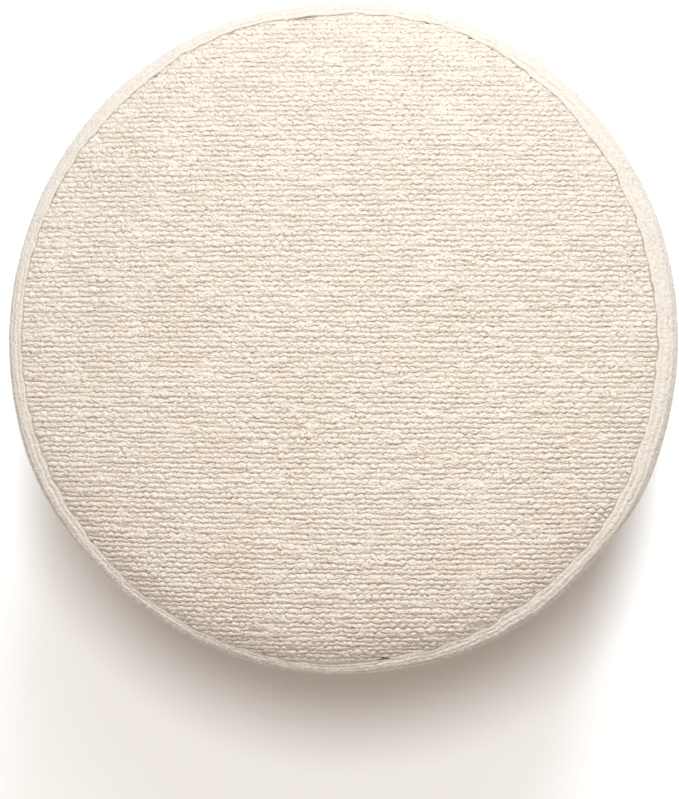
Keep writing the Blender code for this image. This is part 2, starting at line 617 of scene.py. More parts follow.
@dataclass
class LoopedYarn:
    """The thick looped yarn, and how its rows lie side by side in the cloth."""

    pitch: float = 3.59 * MM  # from one row to the next
    back_from: float = 0.13  # where a row's rounded back begins and ends, as a share of the pitch
    furrow: float = 0.85 * MM  # depth between two rows
    furrow_spread: float = 0.22 * MM  # how much that depth varies
    closed: float = -1.15  # below this in a random field, two rows are matted together
    closed_edge: float = 0.35  # half the way in that field from matted to open
    closed_length: float = 0.55  # spread of a matted place, in loops
    closed_depth: float = 0.18  # the share of the furrow's depth that is left there
    loop: float = 6.2 * MM  # length of one loop along the row
    loop_spread: float = 0.28  # how much that varies, as a share
    loop_rise: float = 0.48 * MM  # how much a loop's middle stands over its ends
    loop_power: float = 0.75  # below 1, a loop is rounder than a sine's arch
    loop_strength: float = 0.35  # how much the loops differ in strength, as a share
    bulge: float = 0.85 * MM  # how far a loop's middle pushes the furrows beside it away
    most_stray: float = 0.33  # the most that a furrow strays, as a share of the pitch
    lean: float = 0.12 * MM  # fine unevenness of a row's back
    crinkle: float = 0.36 * MM  # fine stray of the furrows
    crinkle_length: float = 0.65  # its spread, in points along the row
    drift: float = 0.15 * MM  # stray of the furrows over longer stretches
    drift_length: float = 11 * MM
    knob: float = 0.75 * MM  # height of a knob, where loops have pulled up
    knob_most: float = 1.2  # knobs that run together rise no higher than this, as a share
    knob_length: float = 2.3 * MM
    knob_share: float = 0.011  # of the points along a row

    def phases(self) -> tuple[float, float, float]:
        """Where a row's three lines of points lie: its furrow and the two edges of its back."""
        return (0.0, self.back_from, 1 - self.back_from)

    def relief(self, rows: int, columns: int, step: float, chance: Chance) -> Relief:
        """The relief of a stretch of cloth.

        Args:
            rows: the number of rows of yarn.
            columns: the number of points along a row.
            step: the distance between them, in metres.
            chance: the random source of this stretch.

        Returns:
            The relief, in metres.
        """
        shape = (rows + 1, columns)
        loop = self.loop / step
        length = self.loop * (1 + self.loop_spread * np.tanh(chance.field(shape, 0.0, loop)))
        turns = (step / length).cumsum(axis=1)
        turns = turns * np.round(turns[:, -1:]) / turns[:, -1:] + chance.source.random((rows + 1, 1))
        full = np.abs(np.sin(math.pi * turns)) ** self.loop_power
        full = full * (1 + self.loop_strength * chance.field(shape, 0.0, loop))
        specks = chance.specks(shape, self.knob_share, 0.35, self.knob_length / step)
        knobs = self.knob_most * np.tanh(specks / self.knob_most)
        drift = chance.field(shape, 1.0, self.drift_length / step)
        crinkle = chance.field(shape, 0.0, self.crinkle_length)
        matted = chance.field(shape, 0.25, self.closed_length * loop)
        opening = smoothstep(self.closed - self.closed_edge, self.closed + self.closed_edge, matted)
        depth = chance.field(shape, 0.0, loop)
        below = np.roll(full, 1, axis=0)
        knobbed = np.clip((knobs + np.roll(knobs, 1, axis=0)) / 1.6, 0, 1)
        opening = opening * (1 - 0.8 * knobbed)
        furrow = self.furrow + self.furrow_spread * depth - 0.2 * self.loop_rise * (below + full - 1)
        stray = np.zeros((3 * rows + 1, columns))
        height = np.zeros((3 * rows + 1, columns))
        tone = np.zeros((3 * rows + 1, columns))
        furrow_stray = self.bulge * (below - full) + self.drift * drift + self.crinkle * crinkle
        most = self.most_stray * self.pitch
        stray[0::3] = np.clip(furrow_stray, -most, most)
        height[0::3] = -furrow * (self.closed_depth + (1 - self.closed_depth) * opening)
        # Painted shade in the furrows, darker where they are open.
        tone[0::3] = -opening * np.clip(0.8 + 0.25 * depth, 0.3, 1.0)
        rise = self.loop_rise * (full - 0.7) + self.knob * knobs
        for line, toward in ((1, 0.86), (2, 0.14)):
            stray[line::3] = stray[0:-1:3] * toward + stray[3::3] * (1 - toward)
            height[line::3] = (rise + self.lean * chance.field(shape, 0.0, 1.0))[:-1]
        return Relief(stray, height, tone, turns[:-1])


@dataclass
class Spots:
    """Places on the cloth where fibres may stand off the yarn."""

    points: np.ndarray  # where each one is
    along: np.ndarray  # the direction of its row
    normal: np.ndarray  # the direction away from the padding
    places: np.ndarray  # its place in the cloth

    def part(self, chosen: np.ndarray) -> "Spots":
        """Some of the places, by their numbers."""
        values = (self.points, self.along, self.normal, self.places)
        return Spots(*(value[chosen] for value in values))


@dataclass
class Fuzz:
    """The fine fibres that stand off the yarn and catch the light."""

    length: float = 1.5 * MM
    width: float = 0.12 * MM
    jitter: float = 2.0 * MM  # how far a fibre's root lies from the middle of its loop
    sunk: float = 0.25 * MM  # how far the root lies under the top of its row
    seed: int = 7

    def spread(self, name: str, spots: Spots) -> bpy.types.Object:
        """Grows one bent fibre at every spot, as one joined piece.

        Args:
            name: the piece's name.
            spots: where the fibres grow.

        Returns:
            The new object.
        """
        source = np.random.default_rng(self.seed + len(name))
        count = len(spots.points)
        across = np.cross(spots.normal, spots.along)
        spin = source.uniform(0, TURN, (count, 1))
        lean = np.cos(spin) * spots.along + np.sin(spin) * across
        side = np.cos(spin + source.normal(0, 0.5, (count, 1)) + 1.5) * spots.along
        side = side + np.sin(spin + 1.5) * across
        side /= np.linalg.norm(side, axis=1, keepdims=True)
        length = self.length * source.uniform(0.6, 1.4, (count, 1))
        root = spots.points + self.jitter * source.normal(0, 1, (count, 1)) * spots.along
        root = root + 0.3 * self.jitter * source.normal(0, 1, (count, 1)) * across - self.sunk * spots.normal
        steep = source.uniform(0.25, 1.0, (count, 1))
        middle = root + length * (0.45 * steep * spots.normal + 0.2 * lean)
        curl = source.normal(0, 0.25, (count, 1))
        tip = middle + length * (0.3 * steep * spots.normal + (0.4 + 0.2 * curl) * lean + curl * side)
        half = self.width / 2 * side
        points = np.stack([root - half, root + half, middle + 0.8 * half, middle - 0.8 * half, tip], axis=1)
        places = np.repeat(spots.places[:, None], 5, axis=1)
        work = MeshWork()
        work.add_line(points.reshape(-1, 3), places.reshape(-1, 3), 0.5)
        faces = np.array([[0, 1, 2], [0, 2, 3], [3, 2, 4]])
        work.triangles.append((faces[None] + np.arange(count)[:, None, None] * 5).reshape(-1, 3))
        return work.make(name)


@dataclass
class TopCover:
    """The round top panel: straight rows of yarn over the crown, ending in the seam."""

    shape: DrumShape
    padding: Padding
    yarn: LoopedYarn
    step: float = 1.6 * MM  # between points along a row
    shortest: int = 12  # the points of the shortest line of a row that is laid
    bare: float = 0.4 * MM  # no fibre stands nearer to the seam than this
    held_from: float = -1 * MM  # between these distances from the seam, it holds the yarn down
    held_to: float = 1.2 * MM
    ripple: float = 0.2 * MM  # height of the thread's pull along the seam's own line
    ripple_length: float = 0.9 * MM
    inner_rings: tuple[float, ...] = (0.97, 0.7, 0.35)
    inner_points: int = 96
    samples: int = 1001
    seed: int = 11
    rows: int = field(init=False)
    along: np.ndarray = field(init=False)
    relief: Relief = field(init=False)
    plan: np.ndarray = field(init=False)  # places along Y, as seen from above
    run: np.ndarray = field(init=False)  # how far over the crown each of them is from its middle

    def __post_init__(self) -> None:
        """Lays out the rows and their relief."""
        reach = float(self.shape.seam.table.max())
        self.plan = np.linspace(-reach, reach, self.samples)
        level = self._surface(np.zeros_like(self.plan), self.plan)
        self.run = np.concatenate([[0], np.cumsum(np.hypot(np.diff(self.plan), np.diff(level)))])
        self.run -= self.run[len(self.run) // 2]
        self.rows = 2 * int(min(self.run[-1], -self.run[0]) / self.yarn.pitch)
        columns = 2 * int(reach / self.step) + 3
        self.along = (np.arange(columns) - columns // 2) * self.step
        self.relief = self.yarn.relief(self.rows, columns, self.step, Chance(self.seed))

    def build(self) -> bpy.types.Object:
        """Builds the panel as one closed sheet.

        Returns:
            The new object.
        """
        work = MeshWork()
        lines = []
        for line in range(3 * self.rows + 1):
            row = line // 3 - self.rows / 2 + self.yarn.phases()[line % 3]
            self._lay_line(work, lines, row * self.yarn.pitch, line)
        lines.insert(0, self._lay_arc(work, lines[0][1][1:-1], -1.0))
        lines.append(self._lay_arc(work, lines[-1][1][1:-1], 1.0))
        for (lower, lower_at), (upper, upper_at) in zip(lines, lines[1:]):
            work.zip_lines(lower, lower_at, upper, upper_at)
        self._close(work, lines)
        return work.make("top_cover")

    def spots(self) -> Spots:
        """The middle of each loop of yarn, where fibres may stand off it.

        Returns:
            The spots, over the whole panel.
        """
        found = []
        for row in range(self.rows):
            x = np.interp(self.relief.middles(row), self.relief.loops[row], self.along)
            across = (row + 0.5 - self.rows / 2) * self.yarn.pitch
            plan = np.interp(across, self.run, self.plan)
            stray = (self.relief.stray[3 * row + 1] + self.relief.stray[3 * row + 2]) / 2
            rise = (self.relief.height[3 * row + 1] + self.relief.height[3 * row + 2]) / 2
            y = plan + np.interp(x, self.along, stray)
            found.append(np.stack([x, y, np.interp(x, self.along, rise), np.full_like(x, across)]))
        x, y, rise, across = np.concatenate(found, axis=1)
        inside = self._edge(x, y) > self.bare
        x, y, rise, across = x[inside], y[inside], rise[inside], across[inside]
        points = self._point(x, y, rise)
        slope_x, slope_y = self._slopes(x, y)
        along = np.stack([np.ones_like(x), np.zeros_like(x), slope_x], axis=1)
        along /= np.linalg.norm(along, axis=1, keepdims=True)
        normal = np.stack([-slope_x, -slope_y, np.ones_like(x)], axis=1)
        normal /= np.linalg.norm(normal, axis=1, keepdims=True)
        places = np.stack([x, np.zeros_like(x), across], axis=1)
        return Spots(points, along, normal, places)

    def _lay_line(
        self, work: MeshWork, lines: list[tuple[np.ndarray, np.ndarray]], across: float, line: int
    ) -> None:
        """Lays one line of points from seam to seam, if it is long enough to keep.

        Args:
            work: the mesh so far.
            lines: the lines laid so far, each as its points' numbers and places along X.
            across: the line's place in the cloth, across the rows.
            line: its number in the relief.
        """
        y = np.interp(across, self.run, self.plan) + self.relief.stray[line]
        kept = np.flatnonzero(self._edge(self.along, y) > 0.5 * self.step)
        if len(kept) < self.shortest:
            return
        span = slice(kept[0], kept[-1] + 1)
        x, y, rise = self.along[span], y[span], self.relief.height[line][span]
        first = self._to_seam(x[:1], y[:1], -1.0)
        last = self._to_seam(x[-1:], y[-1:], 1.0)
        x = np.concatenate([first, x, last])
        # The furrows' painted shade.
        tone = self.relief.tone[line][span]
        y, rise, tone = (np.pad(value, 1, mode="edge") for value in (y, rise, tone))
        places = np.stack([x, np.zeros_like(x), np.full_like(x, across)], axis=1)
        numbers = work.add_line(self._point(x, y, rise), places, tone, self._edge(x, y))
        work.folds.append(numbers[[0, -1]])
        lines.append((numbers, x))

    def _lay_arc(self, work: MeshWork, x: np.ndarray, side: float) -> tuple[np.ndarray, np.ndarray]:
        """Lays the seam's own line beyond the last row.

        Args:
            work: the mesh so far.
            x: the places along X of its points.
            side: -1 for the line towards -Y, or 1 for the one towards +Y.

        Returns:
            The numbers of its points, and their places along X.
        """
        y = self._to_seam(np.full_like(x, side * self.shape.seam.mean), x, side, along_y=True)
        rise = self.ripple * np.sin(x / self.ripple_length)
        places = np.stack([x, np.zeros_like(x), np.interp(y, self.plan, self.run)], axis=1)
        # The seam's own line gets a little painted shade.
        numbers = work.add_line(self._point(x, y, rise), places, -0.2, self._edge(x, y))
        work.folds.append(numbers)
        return numbers, x

    def _to_seam(
        self, moved: np.ndarray, kept: np.ndarray, side: float, along_y: bool = False
    ) -> np.ndarray:
        """Moves points along X or Y to the seam.

        Args:
            moved: the points' places on the axis along which they move.
            kept: their places on the other axis.
            side: -1 for the seam's lower side, or 1 for its higher one.
            along_y: whether they move along Y.

        Returns:
            The points' new places.
        """
        for _ in range(5):
            x, y = (kept, moved) if along_y else (moved, kept)
            reach = self.shape.seam.at(np.arctan2(y, x))
            moved = side * np.sqrt(np.maximum(reach**2 - kept**2, 1e-12))
        return moved

    def _edge(self, x: np.ndarray, y: np.ndarray) -> np.ndarray:
        """How far a point is inside the seam."""
        return self.shape.seam.at(np.arctan2(y, x)) - np.hypot(x, y)

    def _surface(self, x: np.ndarray, y: np.ndarray) -> np.ndarray:
        """Height of the swollen crown.

        Args:
            x: places along X.
            y: places along Y.

        Returns:
            The height over the floor at each of them.
        """
        bearing = np.arctan2(y, x)
        share = np.hypot(x, y) / self.shape.seam.at(bearing)
        return self.shape.crown(np.minimum(share, 1.0), bearing) + self.padding.lift(share, bearing)

    def _slopes(self, x: np.ndarray, y: np.ndarray) -> tuple[np.ndarray, np.ndarray]:
        """The crown's slopes.

        Args:
            x: places along X.
            y: places along Y.

        Returns:
            The slopes along X and along Y.
        """
        probe = 0.5 * MM
        slope_x = (self._surface(x + probe, y) - self._surface(x - probe, y)) / (2 * probe)
        slope_y = (self._surface(x, y + probe) - self._surface(x, y - probe)) / (2 * probe)
        return slope_x, slope_y

    def _point(self, x: np.ndarray, y: np.ndarray, rise: np.ndarray) -> np.ndarray:
        """Points of the cloth: on the crown, and lifted along its normal, less so at the seam.

        Args:
            x: places along X.
            y: places along Y.
            rise: how far the yarn stands off the smooth crown.

        Returns:
            The points.
        """
        slope_x, slope_y = self._slopes(x, y)
        length = np.sqrt(1 + slope_x**2 + slope_y**2)
        rise = rise * smoothstep(self.held_from, self.held_to, self._edge(x, y))
        level = self._surface(x, y) + rise / length
        return np.stack([x - rise * slope_x / length, y - rise * slope_y / length, level], axis=1)

    def _close(self, work: MeshWork, lines: list[tuple[np.ndarray, np.ndarray]]) -> None:
        """Adds the sheet's edge and its inner face, which closes it.

        Args:
            work: the mesh so far.
            lines: its lines, each as its points' numbers and places along X.
        """
        points = np.concatenate(work.points)
        starts = [numbers[0] for numbers, _ in reversed(lines)]
        ends = [numbers[-1] for numbers, _ in lines]
        edge = np.concatenate([lines[0][0][1:-1], ends, lines[-1][0][-2:0:-1], starts])
        bearing = np.arctan2(points[edge, 1], points[edge, 0])
        order = np.argsort(bearing)
        edge, bearing = edge[order], bearing[order]
        drop = points[edge] - np.array([0, 0, CLOTH])
        # The sheet's edge down in the seam gets painted shade.
        outer = work.add_line(drop, self._places(drop), -0.5, 0.0)
        work.zip_round(edge, bearing, outer, bearing)
        outer_at = bearing
        ring_at = np.arange(self.inner_points) * TURN / self.inner_points - math.pi
        for share in self.inner_rings:
            radius = self.shape.seam.at(ring_at) * share
            x, y = radius * np.cos(ring_at), radius * np.sin(ring_at)
            ring = np.stack([x, y, self._surface(x, y) - CLOTH], axis=1)
            numbers = work.add_line(ring, self._places(ring))
            work.zip_round(outer, outer_at, numbers, ring_at)
            outer, outer_at = numbers, ring_at
        middle = np.array([[0.0, 0.0, float(self._surface(np.zeros(1), np.zeros(1))[0])]])
        work.add_fan(outer, middle - np.array([0, 0, CLOTH]))

    @staticmethod
    def _places(points: np.ndarray) -> np.ndarray:
        """The place in the cloth of a point of the inner face."""
        return np.stack([points[:, 0], np.zeros(len(points)), points[:, 1]], axis=1)


@dataclass
class SideCover:
    """The side band drawn round the filling: rows of yarn from the top seam to the base seam."""

    shape: DrumShape
    padding: Padding
    yarn: LoopedYarn
    fine_rows: int = 7  # the rows beside the top seam, which are seen from nearest
    fine_points: int = 960
    points: int = 232
    gap: float = 0.3 * MM  # between the band and either panel, where the thread doesn't close it
    gap_mean: float = 0.8  # how open the gap is, as a share, and how much that varies round
    gap_spread: float = 0.5
    gap_range: tuple[float, float] = (0.2, 1.6)
    calm: float = 0.4  # how far the first rows' loops, and their furrows' painted shade, still stand out where they are worn smooth and get painted sheen
    calm_rows: tuple[float, float] = (3, 12)  # the worn smooth stretch with its painted sheen fades out over these rows
    seam_tone: float = 0.15  # the share of its painted furrow shade that the row in a seam keeps
    held_from: float = -0.5 * MM  # between these distances from a seam, it holds the yarn down
    held_to: float = 1.2 * MM
    hidden_rings: tuple[float, float] = (0.97, 0.5)  # of the filling's faces inside the seams
    hidden_points: int = 96
    hidden_drop: float = 5 * MM  # of the upper one, under the crown
    samples: int = 4000
    seed: int = 23
    level: np.ndarray = field(init=False)  # levels of the section, from 1 to -1
    run: np.ndarray = field(init=False)  # how far down the band from the top seam they are
    rows: int = field(init=False)
    fine: Relief = field(init=False)
    coarse: Relief = field(init=False)
    around: np.ndarray = field(init=False)
    openings: np.ndarray = field(init=False)  # how wide the seam gapes, all the way round

    def __post_init__(self) -> None:
        """Measures the band from seam to seam, and lays out its rows and their relief."""
        places = 1600
        self.around = np.linspace(0, TURN, places, endpoint=False)
        self.openings = Chance(self.seed + 2).field((1, places), 0.0, 5.0)[0]
        self.level = np.cos(np.linspace(0, math.pi, self.samples))
        out, height = self.shape.band_profile(self.level)
        self.run = np.concatenate([[0], np.cumsum(np.hypot(np.diff(out), np.diff(height)))])
        self.rows = round(self.run[-1] / self.yarn.pitch)
        LOG.info("the band has %d rows of yarn, %.2f mm apart", self.rows, self.pitch / MM)
        circle = TURN * self.shape.wall.mean
        self.fine, self.coarse = (
            self.yarn.relief(self.rows, points, circle / points, Chance(self.seed + turn))
            for turn, points in enumerate((self.fine_points, self.points))
        )

    @property
    def pitch(self) -> float:
        """The distance from one row to the next, for a whole number of rows."""
        return float(self.run[-1]) / self.rows

    def build(self) -> bpy.types.Object:
        """Builds the band and the filling's hidden faces as one closed form.

        Returns:
            The new object.
        """
        work = MeshWork()
        rings = []
        for line in range(3 * self.rows + 1):
            row = line // 3 + self.yarn.phases()[line % 3]
            relief = self.fine if line <= 3 * self.fine_rows else self.coarse
            count = relief.stray.shape[1]
            bearing = np.arange(count) * TURN / count
            stray = relief.stray[line] * self._inside(row)
            place = row * self.pitch + stray
            calm = self._calm(row)
            points, _ = self._point(bearing, place, relief.height[line] * calm)
            edge = np.minimum(place, self.run[-1] - place)
            at_seam = line in (0, 3 * self.rows)
            # Painted furrow shade, weaker in the seam rows and where the loops are worn smooth; 1 less calm
            # sets their painted sheen.
            tone = relief.tone[line] * (self.seam_tone if at_seam else calm)
            numbers = work.add_line(points, self._places(bearing, row), tone, edge, 1 - calm)
            if at_seam:
                work.folds.append(numbers)
            rings.append((numbers, bearing))
        for (upper, upper_at), (lower, lower_at) in zip(rings, rings[1:]):
            work.zip_round(upper, upper_at, lower, lower_at)
        under = self.shape.crown(np.array(self.hidden_rings), np.array([math.pi / 2]))
        self._close(work, rings[0], under - self.hidden_drop)
        self._close(work, rings[-1], np.full(2, CLOTH + self.gap))
        return work.make("side_cover")

    def spots(self) -> Spots:
        """The middle of each loop of yarn, where fibres may stand off it.

        Returns:
            The spots, over the whole band.
        """
        found = []
        for row in range(self.rows):
            relief = self.fine if row < self.fine_rows else self.coarse
            turns = relief.loops[row]
            around = np.arange(len(turns)) * TURN / len(turns)
            bearing = np.interp(relief.middles(row), turns, around)
            first = 3 * row + 1
            stray = np.interp(bearing, around, relief.stray[first]) * self._inside(row + 0.5)
            rise = np.interp(bearing, around, relief.height[first]) * self._calm(row)
            points, normal = self._point(bearing, (row + 0.5) * self.pitch + stray, rise)
            places = self._places(bearing, row + 0.5)
            along = np.stack([-np.sin(bearing), np.cos(bearing), np.zeros_like(bearing)], axis=1)
            found.append((points, along, normal, places))
        return Spots(*(np.concatenate(parts) for parts in zip(*found)))

    def _places(self, bearing: np.ndarray, row: float) -> np.ndarray:
        """The place in the cloth of points on one row.

        Args:
            bearing: the direction from the axis, in radians.
            row: the row's number from the top seam.

        Returns:
            The places, on a cylinder of rows that are all one pitch apart.
        """
        radius = self.shape.wall.mean
        across = np.full_like(bearing, row * self.yarn.pitch)
        return np.stack([radius * np.cos(bearing), radius * np.sin(bearing), across], axis=1)

    def _calm(self, row: float) -> float:
        """How far the rows stand out: on the shoulder they are pulled tight and worn smooth, and get painted
        sheen.
        """
        return self.calm + (1 - self.calm) * float(smoothstep(*self.calm_rows, np.array(row)))

    def _inside(self, row: float) -> float:
        """0 at either seam and 1 two rows away from it, so that the seam lines stay true."""
        return float(smoothstep(0, 2, np.array(min(row, self.rows - row))))

    def _point(
        self, bearing: np.ndarray, place: np.ndarray, rise: np.ndarray
    ) -> tuple[np.ndarray, np.ndarray]:
        """Points of the band, lifted along the section's normal, but not at the seams.

        Args:
            bearing: the direction from the axis, in radians.
            place: how far down the band from the top seam, along its surface.
            rise: how far the cloth stands off the smooth form.

        Returns:
            The points, and the directions away from the padding there.
        """
        probe = 1e-4
        place = np.clip(place, 0, self.run[-1])
        level = np.interp(place, self.run, self.level)
        out, height = self.shape.band_profile(level)
        radius = self.shape.band_radius(bearing, out, height)
        edge = np.minimum(place, self.run[-1] - place)
        opening = np.interp(bearing, self.around, self.openings, period=TURN)
        opening = np.clip(self.gap_mean + self.gap_spread * opening, *self.gap_range)
        opening = 1 + (opening - 1) * (1 - smoothstep(0, 2 * MM, edge))
        radius = radius + self.padding.swell(level, bearing) + self.gap * opening
        out_up, height_up = self.shape.band_profile(np.minimum(level + probe, 1))
        out_down, height_down = self.shape.band_profile(np.maximum(level - probe, -1))
        length = np.maximum(np.hypot(out_up - out_down, height_up - height_down), 1e-12)
        outwards, upwards = (height_up - height_down) / length, (out_down - out_up) / length
        rise = rise * smoothstep(self.held_from, self.held_to, edge)
        radius, height = radius + rise * outwards, height + rise * upwards
        points = np.stack([radius * np.cos(bearing), radius * np.sin(bearing), height], axis=1)
        normal = np.stack([outwards * np.cos(bearing), outwards * np.sin(bearing), upwards], axis=1)
        return points, normal

    def _close(
        self, work: MeshWork, ring: tuple[np.ndarray, np.ndarray], heights: np.ndarray
    ) -> None:
        """Adds the hidden face of the filling inside one seam.

        Args:
            work: the mesh so far.
            ring: the numbers and bearings of the band's last ring there.
            heights: the face's height at each hidden ring.
        """
        outer, outer_at = ring
        at = np.arange(self.hidden_points) * TURN / self.hidden_points
        for share, height in zip(self.hidden_rings, heights):
            radius = self.shape.seam.mean * share
            inner = np.stack([radius * np.cos(at), radius * np.sin(at), np.full_like(at, height)], axis=1)
            numbers = work.add_line(inner, inner)
            work.zip_round(outer, outer_at, numbers, at)
            outer, outer_at = numbers, at
        work.add_fan(outer, np.array([[0.0, 0.0, heights[1]]]))


@dataclass
class BaseCover:
    """The flat round panel that the drum stands on."""

    low: Vector  # the corners of the CAD node's box
    high: Vector
    rim_share: float = 0.3  # how far the rim is rounded, as a share of the thickness
    corners: int = 192

    def build(self) -> bpy.types.Object:
        """Builds the panel as a thin disc with a softly rounded rim.

        Returns:
            The new object.
        """
        deselect()
        thickness = self.high.z - self.low.z
        radius = (self.high.x - self.low.x + self.high.y - self.low.y) / 4
        bpy.ops.mesh.primitive_cylinder_add(
            vertices=self.corners,
            radius=radius,
            depth=thickness,
            location=(0, 0, thickness / 2),
            end_fill_type="NGON",
        )
        obj = bpy.context.object
        obj.name = "base_cover"
        bpy.ops.object.transform_apply(location=True, rotation=True, scale=True)
        bpy.ops.object.mode_set(mode="EDIT")
        bpy.ops.mesh.select_all(action="SELECT")
        bpy.ops.mesh.bevel(offset=self.rim_share * thickness, segments=2, affect="EDGES")
        bpy.ops.object.mode_set(mode="OBJECT")
        obj.data.shade_smooth()
        deselect()
        return obj


def linear(code: str) -> tuple[float, float, float, float]:
    """Turns an sRGB hex code into a linear colour.

    Args:
        code: six hex digits.

    Returns:
        The colour with an alpha of 1.
    """
    channels = [int(code[start : start + 2], 16) / 255 for start in (0, 2, 4)]
    toned = [c / 12.92 if c <= 0.04045 else ((c + 0.055) / 1.055) ** 2.4 for c in channels]
    return (toned[0], toned[1], toned[2], 1.0)


class Nodes:
    """One material's node tree."""

    def __init__(self, name: str) -> None:
        """Makes a material with an empty tree but for its shader and output.

        Args:
            name: the material's name.
        """
        self.material = bpy.data.materials.new(name)
        self.material.use_nodes = True
        self.tree = self.material.node_tree
        self.shader = self.tree.nodes["Principled BSDF"]

    def add(
        self, kind: str, inputs: dict[str | int, object] | None = None, **settings: object
    ) -> bpy.types.Node:
        """Adds a node.

        Args:
            kind: the node's type name.
            inputs: values or sockets for its inputs, by name or number.
            settings: the node's own properties.

        Returns:
            The new node.
        """
        node = self.tree.nodes.new(kind)
        for name, value in settings.items():
            setattr(node, name, value)
        for name, value in (inputs or {}).items():
            if isinstance(value, bpy.types.NodeSocket):
                self.tree.links.new(value, node.inputs[name])
            else:
                node.inputs[name].default_value = value
        return node

    def math(self, operation: str, *values: object) -> bpy.types.NodeSocket:
        """Adds a Math node and gives its result."""
        node = self.add("ShaderNodeMath", dict(enumerate(values)), operation=operation)
        return node.outputs[0]

    def ramp(self, value: bpy.types.NodeSocket, low: float, high: float) -> bpy.types.NodeSocket:
        """Adds a smooth rise from 0 to 1.

        Args:
            value: the value that rises.
            low: where it is 0.
            high: where it is 1, which may be below low.

        Returns:
            The result's socket.
        """
        node = self.add(
            "ShaderNodeMapRange",
            {"Value": value, "From Min": low, "From Max": high},
            interpolation_type="SMOOTHSTEP",
        )
        return node.outputs["Result"]

    def mix(self, share: object, first: object, second: object) -> bpy.types.NodeSocket:
        """Adds a colour mix.

        Args:
            share: how far it goes to the second colour.
            first: the first colour, or its socket.
            second: the second colour.

        Returns:
            The result's socket.
        """
        node = self.add("ShaderNodeMix", {0: share, 6: first, 7: second}, data_type="RGBA")
        return node.outputs[2]

    def finish(self, settings: dict[str, float]) -> bpy.types.Material:
        """Sets the shader's plain values and hands over the material.

        Args:
            settings: the values, by the names of their inputs.

        Returns:
            The finished material.
        """
        for name, value in settings.items():
            self.shader.inputs[name].default_value = value
        return self.material


